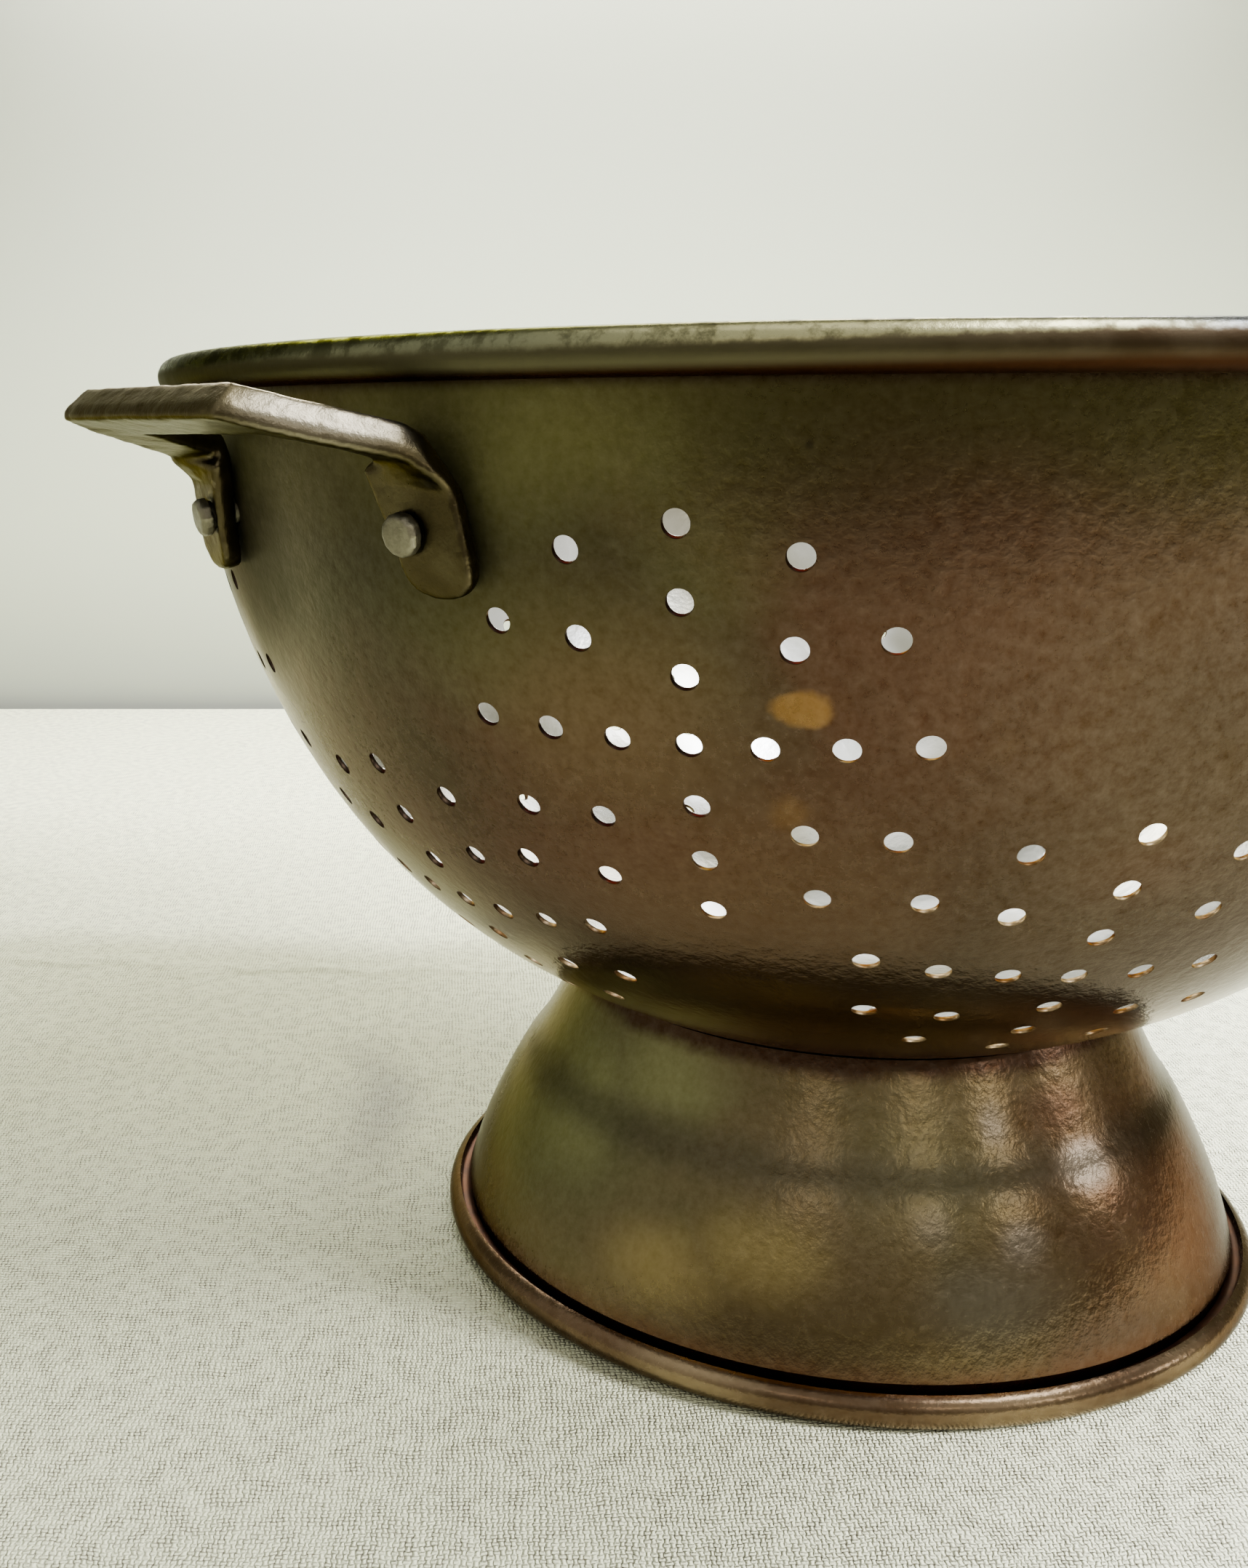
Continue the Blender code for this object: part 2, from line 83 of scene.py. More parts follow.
BREAKOUT = 0.42 * MM                    # how far a punched hole widens at the inside


# ------------------------------------------------------------------ node helpers

def node(tree, kind, inputs=None, **settings):
    """Adds a shader node; an input is a value or another node's output."""
    made = tree.nodes.new(kind)
    for key, value in settings.items():
        setattr(made, key, value)
    for key, value in (inputs or {}).items():
        socket = made.inputs[key]
        if isinstance(value, bpy.types.NodeSocket):
            tree.links.new(value, socket)
        elif socket.type == "RGBA" and not isinstance(value, (int, float)) and len(value) == 3:
            socket.default_value = (*value, 1.0)
        else:
            socket.default_value = value
    return made


def start_material(name):
    mat = bpy.data.materials.new(name)
    mat.use_nodes = True
    tree = mat.node_tree
    tree.nodes.clear()
    return mat, tree


def place(tree):
    return node(tree, "ShaderNodeTexCoord").outputs["Object"]


def noise_tex(tree, vector, scale, detail=3.0, rough=0.55, distort=0.0):
    made = node(tree, "ShaderNodeTexNoise", {"Vector": vector, "Scale": scale, "Detail": detail,
                                             "Roughness": rough, "Distortion": distort})
    return made.outputs["Fac"]


def ramp(tree, value, low, high, smooth=True):
    """0 below low, 1 above high; it falls instead where high is the smaller one."""
    return node(tree, "ShaderNodeMapRange",
                {"Value": value, "From Min": low, "From Max": high},
                interpolation_type="SMOOTHSTEP" if smooth else "LINEAR").outputs["Result"]


def mix(tree, factor, a, b, kind="MIX"):
    made = node(tree, "ShaderNodeMix", data_type="RGBA", blend_type=kind)
    for index, value in ((0, factor), (6, a), (7, b)):
        socket = made.inputs[index]
        if isinstance(value, bpy.types.NodeSocket):
            tree.links.new(value, socket)
        elif index == 0:
            socket.default_value = value
        else:
            socket.default_value = (*value, 1.0)
    return made.outputs[2]


def calc(tree, operation, a, b=0.0, clamp=False):
    made = node(tree, "ShaderNodeMath", {0: a, 1: b}, operation=operation, use_clamp=clamp)
    return made.outputs[0]


def opposite(tree, value):
    return calc(tree, "SUBTRACT", 1.0, value)


def times(tree, a, b):
    return calc(tree, "MULTIPLY", a, b)


def plus(tree, base, value, amount):
    """The base with a share of another value on top."""
    return calc(tree, "ADD", times(tree, value, amount), base)


def swing(tree, value, amount):
    """A noise value turned into a swing to both sides of zero."""
    return times(tree, calc(tree, "SUBTRACT", value, 0.5), amount)


def split(tree, vector):
    """X, Y and Z of a vector."""
    return node(tree, "ShaderNodeSeparateXYZ", {0: vector}).outputs


def along(tree, where, direction):
    """Distance of a place along a direction."""
    return node(tree, "ShaderNodeVectorMath", {0: where, 1: direction},
                operation="DOT_PRODUCT").outputs["Value"]


def bump(tree, height, distance, strength, normal=None):
    inputs = {"Height": height, "Distance": distance, "Strength": strength}
    if normal is not None:
        inputs["Normal"] = normal
    return node(tree, "ShaderNodeBump", inputs).outputs["Normal"]


def finish_material(tree, colour, rough, metallic, normal, tint=None):
    """tint is the colour that a metal takes at grazing angles."""
    inputs = {"Base Color": colour, "Roughness": rough, "Metallic": metallic, "Normal": normal}
    if tint is not None:
        inputs["Specular Tint"] = tint
    shader = node(tree, "ShaderNodeBsdfPrincipled", inputs)
    node(tree, "ShaderNodeOutputMaterial", {"Surface": shader.outputs[0]})


def spot(tree, where, centre, size, soft, wobble=None):
    """1 inside an ellipsoid round a point, fading to 0 at its edge."""
    shifted = node(tree, "ShaderNodeVectorMath", {0: where, 1: centre}, operation="SUBTRACT")
    scaled = node(tree, "ShaderNodeVectorMath", {0: shifted.outputs[0], 1: size},
                  operation="DIVIDE")
    length = node(tree, "ShaderNodeVectorMath", {0: scaled.outputs[0]}, operation="LENGTH")
    value = length.outputs["Value"]
    if wobble is not None:
        value = calc(tree, "ADD", value, wobble)
    return opposite(tree, ramp(tree, value, 1.0 - soft, 1.0))


def around(turn_deg, radius_mm, z_mm):
    """A place on or near the object, by its turn, radius and height."""
    a = math.radians(turn_deg)
    return (radius_mm * MM * math.cos(a), radius_mm * MM * math.sin(a), z_mm * MM)


# ------------------------------------------------------------------ bowl surface

class Wall:
    """Outer surface of the bowl: three tangent arcs, by arc length from the rim."""

    def __init__(self):
        s, r, z = 0.0, CURL_C - RIM_CURL_R + BOWL_T, RIM_Z
        self.arcs = []
        for (rad, a0), a1 in ((SIDE_ARC, SHOULDER_ARC[1]), (SHOULDER_ARC, BOTTOM_START)):
            cr, cz = r - rad * math.cos(a0), z + rad * math.sin(a0)
            self.arcs.append((s, a0, cr, cz, rad))
            s += rad * (a1 - a0)
            r, z = cr + rad * math.cos(a1), cz - rad * math.sin(a1)
        rad = r / math.cos(BOTTOM_START)
        self.arcs.append((s, BOTTOM_START, 0.0, z + rad * math.sin(BOTTOM_START), rad))
        self.length = s + rad * (math.pi / 2 - BOTTOM_START)
        self.table = np.array(self.arcs)

    def section(self, s, depth=0.0):
        """Radius, height and angle from the vertical, depth into the metal."""
        s = np.asarray(s, float)
        k = np.clip(np.searchsorted(self.table[:, 0], s + 1e-12, side="right") - 1, 0, 2)
        s0, a0, cr, cz, rad = np.moveaxis(self.table[k], -1, 0)
        a = a0 + (s - s0) / rad
        return cr + (rad - depth) * np.cos(a), cz - (rad - depth) * np.sin(a), a

    def find(self, r, z):
        """Arc length and height above the surface."""
        s_out = h_out = None
        for s0, a0, cr, cz, rad in self.arcs:
            a = np.arctan2(cz - z, r - cr)
            s, h = s0 + rad * (a - a0), np.hypot(r - cr, cz - z) - rad
            if s_out is None:
                s_out, h_out = s, h
            else:
                use = a >= a0
                s_out, h_out = np.where(use, s, s_out), np.where(use, h, h_out)
        return s_out, h_out

    def points(self, turn, s, depth=0.0):
        r, z, _ = self.section(s, depth)
        return np.stack([r * np.cos(turn), r * np.sin(turn), z + 0 * np.asarray(turn)], -1)

    def normals(self, turn, s):
        _, _, a = self.section(s)
        return np.stack([np.cos(a) * np.cos(turn), np.cos(a) * np.sin(turn),
                         -np.sin(a) + 0 * np.asarray(turn)], -1)

    def hit(self, start, direction, depth=0.0):
        """Where lines meet the surface, depth into the metal: points, turn and s."""
        p = start.copy()
        for _ in range(10):
            s, h = self.find(np.hypot(p[..., 0], p[..., 1]), p[..., 2])
            turn = np.arctan2(p[..., 1], p[..., 0])
            slope = (direction * self.normals(turn, s)).sum(-1)
            p = p - direction * ((h + depth) / slope)[..., None]
        s, _ = self.find(np.hypot(p[..., 0], p[..., 1]), p[..., 2])
        return p, np.arctan2(p[..., 1], p[..., 0]), s


WALL = Wall()


def s_where(index, value):
    lo, hi = 0.0, WALL.length
    for _ in range(50):
        mid = (lo + hi) / 2
        lo, hi = (mid, hi) if WALL.section(mid)[index] > value else (lo, mid)
    return lo


def local_axes(turn, s):
    n = Vector(WALL.normals(turn, s))
    east = Vector((-math.sin(turn), math.cos(turn), 0.0))
    return n, east, n.cross(east)


def drill_list():
    """Every hole: a point on its axis, the axis, two cross axes and the radius."""
    rng = np.random.default_rng(11)
    drills = []
    spots = [(UPPER_TURN + k * TAU / 6, UPPER_S) for k in range(6)]
    spots += [(UPPER_TURN + (k + 0.5) * TAU / 6, LOWER_S) for k in range(6)]
    for turn, s in spots + [(0.0, WALL.length)]:
        n, east, north = local_axes(turn, s)
        centre = Vector(WALL.points(turn, s))
        for ring, count in PUNCH_RINGS:
            for k in range(count):
                a = TAU * k / count
                jig = rng.normal(0.0, 0.07 * MM, 2)
                u = ring * HOLE_PITCH * math.cos(a) + jig[0]
                v = ring * HOLE_PITCH * math.sin(a) + jig[1]
                drills.append((centre + east * u + north * v, n, east, north,
                               HOLE_R * (1 + rng.normal(0.0, 0.012))))
    s = s_where(1, RIVET_Z)
    for base in (0.0, math.pi):
        for side in (-1, 1):
            turn = base + side * RIVET_TURN
            n, east, north = local_axes(turn, s)
            drills.append((Vector(WALL.points(turn, s)), n, east, north, RIVET_HOLE_R))
    return drills


def flat(turn, s):
    rho = WALL.length - np.asarray(s)
    return np.stack([rho * np.cos(turn), rho * np.sin(turn)], -1)


class Shell:
    """Collects vertices, faces, corner normals and materials for one mesh."""

    def __init__(self):
        self.points, self.faces, self.normals, self.slots = [], [], [], []

    def add(self, points):
        first = len(self.points)
        self.points.extend(map(tuple, points))
        return list(range(first, first + len(points)))

    def face(self, ids, normals, slot):
        self.faces.append(ids)
        self.normals.extend(normals)
        self.slots.append(slot)

    def band(self, a, b, na, nb, slot):
        """Quads between two closed rings; normals are per ring vertex."""
        n = len(a)
        for k in range(n):
            j = (k + 1) % n
            self.face((a[k], a[j], b[j], b[k]), (na[k], na[j], nb[j], nb[k]), slot)

    def build(self, name, materials):
        mesh = bpy.data.meshes.new(name)
        mesh.from_pydata(self.points, [], self.faces)
        for mat in materials:
            mesh.materials.append(mat)
        mesh.polygons.foreach_set("material_index", self.slots)
        mesh.polygons.foreach_set("use_smooth", [True] * len(self.faces))
        mesh.update()
        mesh.normals_split_custom_set([Vector(n).normalized() for n in self.normals])
        obj = bpy.data.objects.new(name, mesh)
        bpy.context.scene.collection.objects.link(obj)
        return obj


OUTSIDE, INSIDE, EDGE, BEAD = range(4)


def skin_fill(hole_centres):
    """Points between the holes, in rows about 5 mm apart, clear of every hole."""
    turns, lengths = [], []
    s, row = 2.0 * MM, 0
    while s < WALL.length - 3 * MM:
        count = max(8, min(AROUND, int(TAU * (WALL.length - s) / ROW_GAP)))
        turns.append((np.arange(count) + 0.5 * (row % 2)) * TAU / count)
        lengths.append(np.full(count, s))
        s += min(ROW_GAP, 2 * MM + row * MM)
        row += 1
    turns, lengths = np.concatenate(turns), np.concatenate(lengths)
    p = flat(turns, lengths)
    gap = np.min(np.hypot(p[:, None, 0] - hole_centres[None, :, 0],
                          p[:, None, 1] - hole_centres[None, :, 1]), axis=1)
    keep = gap > HOLE_CLEAR
    return turns[keep], lengths[keep]


def hole_rings():
    """For every hole, the rings down through the wall, with positions and flat outline."""
    drills = drill_list()
    centre, axis, east, north = (np.array([d[i] for d in drills]) for i in range(4))
    radius = np.array([d[4] for d in drills])
    a = TAU * (np.arange(HOLE_SIDES) + 0.5) / HOLE_SIDES
    spoke = (east[:, None, :] * np.cos(a)[None, :, None]
             + north[:, None, :] * np.sin(a)[None, :, None])
    axis3 = np.broadcast_to(axis[:, None, :], spoke.shape)

    def ring(extra, depth):
        start = centre[:, None, :] + spoke * (radius + extra)[:, None, None]
        return WALL.hit(start, axis3, depth)

    lip = ring(0.05 * MM, 0.0)
    # The holes nearest the left handle are punched cleaner
    breakout = np.clip((centre[:, 0] + 100 * MM) / (20 * MM), 0.05, 1.0) * BREAKOUT
    rings = [lip[0], ring(0.012 * MM, 0.03 * MM)[0], ring(0.0, 0.08 * MM)[0],
             ring(0.0, 0.24 * MM)[0], ring(0.7 * breakout, BOWL_T - 0.05 * MM)[0],
             ring(breakout, BOWL_T)[0]]
    return rings, spoke, axis3, lip[1], lip[2]


def build_bowl(materials):
    shell = Shell()
    rings, spoke, axis, turn, s = hole_rings()
    count = len(turn)
    edge_turn = TAU * np.arange(AROUND) / AROUND
    outline = flat(turn, s)
    centres = outline.mean(axis=1)
    fill_turn, fill_s = skin_fill(centres)
    all_turn = np.concatenate([edge_turn, turn.ravel(), fill_turn])
    all_s = np.concatenate([np.zeros(AROUND), s.ravel(), fill_s])
    flat_points = np.concatenate([flat(edge_turn, np.zeros(AROUND)), outline.reshape(-1, 2),
                                  flat(fill_turn, fill_s)])
    outer = WALL.points(all_turn, all_s)
    inner = WALL.points(all_turn, all_s, BOWL_T)
    span = slice(AROUND, AROUND + count * HOLE_SIDES)
    outer[span] = rings[0].reshape(-1, 3)
    inner[span] = rings[-1].reshape(-1, 3)
    n = WALL.normals(all_turn, all_s)
    edges = [(k, (k + 1) % AROUND) for k in range(AROUND)]
    for h in range(count):
        first = AROUND + h * HOLE_SIDES
        edges += [(first + k, first + (k + 1) % HOLE_SIDES) for k in range(HOLE_SIDES)]
    found = delaunay_2d_cdt([Vector(p) for p in flat_points], edges, [], 0, 1e-7)
    source = np.array([ids[0] for ids in found[3]])
    tris = source[np.array([tuple(f) for f in found[2]])]
    in_hole = (tris >= AROUND) & (tris < AROUND + count * HOLE_SIDES)
    owner = np.where(in_hole, (tris - AROUND) // HOLE_SIDES, -1)
    same = in_hole.all(1) & (owner[:, 0] == owner[:, 1]) & (owner[:, 1] == owner[:, 2])
    tris = tris[~same]
    out_ids, in_ids = shell.add(outer), shell.add(inner)
    for a, b, c in tris.tolist():
        shell.face((out_ids[c], out_ids[b], out_ids[a]), (n[c], n[b], n[a]), OUTSIDE)
        shell.face((in_ids[a], in_ids[b], in_ids[c]), (-n[a], -n[b], -n[c]), INSIDE)
    add_hole_walls(shell, rings, spoke, axis, out_ids, in_ids)
    add_rim(shell, out_ids[:AROUND], in_ids[:AROUND], edge_turn, n[:AROUND])
    return shell.build("bowl_metal", materials)


def add_hole_walls(shell, rings, spoke, axis, out_ids, in_ids):
    slant = ((1.0, 0.0), (0.75, 0.6), (0.0, 1.0), (-0.2, 0.9), (-0.7, 0.7), (-1.0, 0.0))
    for h in range(len(spoke)):
        first = AROUND + h * HOLE_SIDES
        ids = [out_ids[first:first + HOLE_SIDES]]
        ids += [shell.add(rings[k][h]) for k in range(1, 5)]
        ids.append(in_ids[first:first + HOLE_SIDES])
        lean = [up * axis[h] - side * spoke[h] for up, side in slant]
        for k in range(5):
            slot = EDGE if k < 4 else INSIDE
            shell.band(ids[k + 1][::-1], ids[k][::-1], lean[k + 1][::-1], lean[k][::-1], slot)


def add_rim(shell, outer_top, inner_top, turn, wall_normal):
    """The sheet rolled outwards and down over the wire, from both skins' top rings."""
    inside = [(RIM_CURL_R - BOWL_T, a, -1) for a in np.linspace(math.pi, RIM_CURL_END, 15)[1:]]
    outside = [(RIM_CURL_R, a, 1) for a in np.linspace(RIM_CURL_END, math.pi, 29)[:-1]]
    last, last_n, slot = outer_top, wall_normal, OUTSIDE
    for radius, a, sign in inside + outside:
        r, z = CURL_C + radius * math.cos(a), RIM_Z + radius * math.sin(a)
        ring = shell.add(np.stack([r * np.cos(turn), r * np.sin(turn), z + 0 * turn], -1))
        normal = sign * np.stack([math.cos(a) * np.cos(turn), math.cos(a) * np.sin(turn),
                                  math.sin(a) + 0 * turn], -1)
        if sign == 1 and slot == OUTSIDE:
            across = np.stack([math.sin(a) * np.cos(turn), math.sin(a) * np.sin(turn),
                               -math.cos(a) + 0 * turn], -1)
            shell.band(last, ring, across, across, BEAD)
            slot = BEAD
        else:
            shell.band(last, ring, last_n, normal, slot)
        last, last_n = ring, normal
    shell.band(last, inner_top, last_n, -wall_normal, BEAD)


# ------------------------------------------------------------------ turned pieces

def link_mesh(name, mesh, materials):
    for mat in materials:
        mesh.materials.append(mat)
    obj = bpy.data.objects.new(name, mesh)
    bpy.context.scene.collection.objects.link(obj)
    return obj


def spin_section(name, section, materials, shape=None, sharp=30, around=AROUND):
    """Closed r-z section spun about Z; shape may move each vertex."""
    turn = TAU * np.arange(around) / around
    r, z = np.array(section).T
    pts = np.stack([r[:, None] * np.cos(turn), r[:, None] * np.sin(turn),
                    z[:, None] + 0 * turn], -1)
    if shape is not None:
        pts = shape(pts)
    rows, faces = len(section), []
    for i in range(rows):
        j = (i + 1) % rows
        for k in range(around):
            m = (k + 1) % around
            faces.append((i * around + k, i * around + m, j * around + m, j * around + k))
    mesh = bpy.data.meshes.new(name)
    mesh.from_pydata([tuple(p) for p in pts.reshape(-1, 3)], [], faces)
    mesh.update()
    mesh.shade_smooth()
    mesh.set_sharp_from_angle(angle=math.radians(sharp))
    return link_mesh(name, mesh, materials)


def arc(cr, cz, radius, start, end, steps):
    return [(cr + radius * math.cos(a), cz + radius * math.sin(a))
            for a in np.linspace(start, end, steps + 1)]


def skirt(inset, steps):
    """Skirt line from the neck to the belly: nearly straight, a soft crease, then full."""
    neck_z = float(WALL.section(s_where(0, NECK_R))[1]) - 0.3 * MM
    heights, slopes = zip(*SKIRT_SLOPES)
    z = np.linspace(neck_z, BELLY_Z, steps)
    slope = np.tan(np.radians(np.interp(z, heights, slopes)))
    run = np.concatenate([[0.0], np.cumsum((slope[1:] + slope[:-1]) / 2 * -np.diff(z))])
    r = NECK_R + run * (BELLY_R - NECK_R) / run[-1]
    return [(a - inset, b) for a, b in zip(r, z)]


def build_foot(materials):
    seat = []
    for k in (2, 1.5, 1, 0.5):
        r, z, _ = WALL.section(s_where(0, NECK_R - FOOT_FLANGE * k / 2), -0.3 * MM)
        seat.append((float(r), float(z)))
    top = seat[-1][1]
    curl_in = arc(FOOT_CURL_C, FOOT_CURL_R, FOOT_CURL_R - FOOT_T, math.pi,
                  TAU + FOOT_CURL_END, 22)
    curl_out = arc(FOOT_CURL_C, FOOT_CURL_R, FOOT_CURL_R, TAU + FOOT_CURL_END, math.pi, 30)
    under = [(NECK_R - FOOT_T - 0.4 * MM, top - FOOT_T), (seat[0][0], seat[0][1] - FOOT_T)]
    section = seat + skirt(0.0, 60) + curl_in + curl_out + skirt(FOOT_T, 60)[::-1][:-1] + under
    dent = np.array(around(-98.5, 63.9, 33.6))

    def shape(p):
        reach = np.linalg.norm(p - dent, axis=-1) / DENT_R
        depth = DENT_DEPTH * np.exp(-reach ** 2)
        r = np.hypot(p[..., 0], p[..., 1])
        pull = 1 - depth / r
        return np.stack([p[..., 0] * pull, p[..., 1] * pull, p[..., 2]], -1)

    return spin_section("foot_metal", section[::-1], materials, shape)


def build_wire(name, node_name, radius, materials):
    lo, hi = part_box(node_name)
    cz, cr = (lo.z + hi.z) / 2, hi.x - radius
    return spin_section(name, arc(cr, cz, radius, 0, TAU, 20)[:-1], materials)


def build_solder(materials):
    """A hand-run fillet of solder, lumpy along its length."""
    lo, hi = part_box("foot_solder")
    section = []
    for a in np.linspace(0, TAU, 13)[:-1]:
        section.append(((hi.x - 1.25 * MM) + 1.15 * MM * math.cos(a),
                        lo.z + 0.42 * MM + 0.36 * MM * math.sin(a)))

    def shape(p):
        out = p.copy()
        for i in range(p.shape[0]):
            for k in range(p.shape[1]):
                q = Vector(p[i, k])
                out[i, k, 2] -= 0.25 * MM * (noise.noise(q * 350) + 0.5)
        return out

    return spin_section("solder_fillet", section, materials, shape, 60, 180)


# ------------------------------------------------------------------ cast pieces

def cast_from(name, node_name, voxel, rounds, lump, lump_scale, materials):
    """Fine copy of a CAD solid with softened edges and a cast or hammered skin."""
    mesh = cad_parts[node_name].data.copy()
    mesh.materials.clear()
    obj = bpy.data.objects.new(name, mesh)
    bpy.context.scene.collection.objects.link(obj)
    remesh = obj.modifiers.new("fine", "REMESH")
    remesh.mode, remesh.voxel_size = "VOXEL", voxel
    smooth = obj.modifiers.new("soften", "SMOOTH")
    smooth.factor, smooth.iterations = 0.5, rounds
    graph = bpy.context.evaluated_depsgraph_get()
    fine = bpy.data.meshes.new_from_object(obj.evaluated_get(graph))
    obj.modifiers.clear()
    bpy.data.objects.remove(obj)
    bm = bmesh.new()
    bm.from_mesh(fine)
    bm.normal_update()
    for v in bm.verts:
        v.co += v.normal * (noise.fractal(v.co * lump_scale, 1.0, 2.0, 3) * lump)
    bm.to_mesh(fine)
    bm.free()
    fine.shade_smooth()
    return link_mesh(name, fine, materials)


# ------------------------------------------------------------------ materials

# Tarnish keeps a warm colour at grazing angles, darker where it is thick
EDGE_TINT = (0.92, 0.88, 0.80)
DULL_TINT = (0.70, 0.67, 0.65)


def leather(tree, where, colour, amount):
    """Fine mottling of an old oxide skin, and its bumps."""
    coarse = noise_tex(tree, where, 480.0, 3.0, 0.6)
    fine = noise_tex(tree, where, 1100.0, 3.0, 0.6)
    both = plus(tree, times(tree, fine, 0.45), coarse, 0.55)
    shade = ramp(tree, both, 0.30, 0.70, smooth=False)
    darker = mix(tree, amount, colour, (0.35, 0.33, 0.30), "MULTIPLY")
    lighter = mix(tree, amount, colour, (1.0, 0.96, 0.85), "SCREEN")
    lighter = mix(tree, 0.10, colour, lighter)
    return mix(tree, shade, darker, lighter), coarse, fine


def oxide_normal(tree, coarse, fine, broad):
    normal = bump(tree, fine, 0.00005, 0.6)
    normal = bump(tree, coarse, 0.00014, 0.7, normal)
    return bump(tree, broad, 0.0010, 0.45, normal)


def masks(tree, where, lean, rows):
    """Soft patches: place in degrees and mm, size in m, softness and strength of each.

    Those of the materials below lie where the object is stained, rubbed or polished; some are
    painted highlights, and some painted light over dark reflections.
    """
    total = None
    for turn, radius, z, size, soft, amount in rows:
        one = times(tree, spot(tree, where, around(turn, radius, z), size, soft, lean), amount)
        total = one if total is None else calc(tree, "MAXIMUM", total, one)
    return total


def copper_outside():
    mat, t = start_material("copper_outside")
    where = place(t)
    cloud = noise_tex(t, where, 26.0, 5.0, 0.62, 0.4)
    broad = noise_tex(t, where, 9.0, 3.0, 0.5)
    smear = noise_tex(t, where, 75.0, 4.0, 0.6)
    lean = swing(t, cloud, 0.9)
    x, y, z = split(t, where)
    colour = mix(t, ramp(t, cloud, 0.34, 0.66), (0.061, 0.0262, 0.0154), (0.078, 0.0342, 0.0210))
    rust = ramp(t, smear, 0.56, 0.72)
    colour = mix(t, times(t, rust, 0.22), colour, (0.085, 0.034, 0.009))
    eastern = ramp(t, x, -0.100, -0.060)
    colour = mix(t, eastern, colour, (0.70, 0.88, 0.72), "MULTIPLY")
    # Darker base towards the lower right: partly the browner patina there, partly painted shade
    # that dims the bright cloth reflected in this part.
    lower_right = times(t, ramp(t, x, -0.094, -0.046), ramp(t, z, 0.150, 0.130))
    colour = mix(t, lower_right, colour, (0.72, 0.75, 0.70), "MULTIPLY")
    olive = masks(t, where, lean, (
        (178, 118, 150, (0.085, 0.11, 0.062), 0.75, 0.90),
        (-156, 117, 128, (0.034, 0.034, 0.034), 0.80, 0.70)))
    colour = mix(t, olive, colour, (0.037, 0.0360, 0.0165))
    green = masks(t, where, lean, ((-162, 118, 127, (0.030, 0.030, 0.018), 0.9, 0.80),
                                   (-150, 119, 137, (0.016, 0.016, 0.012), 0.9, 0.50)))
    colour = mix(t, green, colour, (0.084, 0.075, 0.0270))
    height = calc(t, "ADD", z, swing(t, broad, 0.03))
    dusky = mix(t, ramp(t, x, -0.116, -0.092), (0.150, 0.142, 0.046), (0.074, 0.066, 0.019))
    colour = mix(t, times(t, ramp(t, height, 0.138, 0.156), 0.80), colour, dusky)
    # Orange near the neck: partly the copper's own tone, partly painted light over the dark
    # reflection of the foot there.
    near_neck = opposite(t, ramp(t, height, 0.048, 0.074))
    colour = mix(t, times(t, near_neck, 0.8), colour, (0.500, 0.250, 0.030))
    # Painted shade: a dark red-brown band in the groove just under the rim bead.
    colour = mix(t, ramp(t, z, 0.1566, 0.1588), colour, (0.034, 0.014, 0.005))
    wob = swing(t, noise_tex(t, where, 160.0, 3.0), 0.9)
    bare = masks(t, where, wob, (
        (-143.9, 114.2, 119.8, (0.0046, 0.0046, 0.0030), 0.35, 0.75),
        (-144.9, 107.8, 105.2, (0.0036, 0.0036, 0.0036), 0.70, 0.30),
        (-134.6, 82.3, 70.8, (0.0075, 0.0075, 0.0022), 0.35, 0.80)))
    colour = mix(t, bare, colour, (0.230, 0.118, 0.033))
    warm = masks(t, where, lean, ((-150, 98, 90, (0.034, 0.034, 0.030), 0.9, 0.55),
                                  (-157, 113, 115, (0.026, 0.026, 0.026), 0.9, 0.60)))
    colour = mix(t, warm, colour, (0.116, 0.065, 0.0340))
    red = masks(t, where, lean, ((-120.4, 103.8, 97.9, (0.014, 0.014, 0.010), 0.9, 0.30),
                                 (-118.0, 121.0, 133.0, (0.022, 0.022, 0.014), 0.9, 0.25)))
    colour = mix(t, red, colour, (0.060, 0.0270, 0.0130))
    dim = masks(t, where, lean, ((-105, 92, 80, (0.050, 0.050, 0.022), 0.9, 0.90),
                                 (-112, 102, 90, (0.034, 0.034, 0.020), 0.9, 0.35),
                                 (-114, 118, 131, (0.028, 0.028, 0.024), 0.9, 0.50),
                                 (180, 122, 149, (0.030, 0.030, 0.020), 0.9, 0.60)))
    colour = mix(t, dim, colour, (0.021, 0.0115, 0.0064))
    speck = spot(t, where, around(-143.9, 121.8, 150.7), (0.0009, 0.0009, 0.0011), 0.5)
    colour = mix(t, times(t, speck, 0.85), colour, (0.012, 0.008, 0.004))
    colour, coarse, fine = leather(t, where, colour, 0.26)
    rough = plus(t, 0.20, cloud, 0.10)
    rough = plus(t, rough, fine, 0.06)
    polish = opposite(t, ramp(t, z, 0.072, 0.094))
    rough = calc(t, "SUBTRACT", rough, times(t, polish, 0.12))
    dull = masks(t, where, lean, ((-164, 122, 142, (0.040, 0.040, 0.034), 0.7, 0.32),
                                  (168, 122, 142, (0.030, 0.030, 0.034), 0.7, 0.32)))
    rough = calc(t, "ADD", rough, dull)
    edge = mix(t, ramp(t, x, -0.080, -0.030), EDGE_TINT, DULL_TINT)
    edge = mix(t, ramp(t, y, 0.0, 0.040), edge, (0.60, 0.57, 0.50))
    finish_material(t, colour, rough, 1.0, oxide_normal(t, coarse, fine, broad), edge)
    return mat


def tin_inside():
    mat, t = start_material("tin_inside")
    where = place(t)
    cloud = noise_tex(t, where, 30.0, 4.0, 0.6)
    fine = noise_tex(t, where, 300.0, 3.0, 0.6)
    patch = noise_tex(t, where, 24.0, 3.0, 0.5)
    colour = mix(t, ramp(t, cloud, 0.35, 0.7), (0.84, 0.85, 0.86), (0.62, 0.61, 0.56))
    colour = mix(t, ramp(t, patch, 0.44, 0.62), colour, (0.40, 0.385, 0.32))
    rough = plus(t, 0.14, cloud, 0.16)
    finish_material(t, colour, rough, 1.0, bump(t, fine, 0.00012, 0.6))
    return mat


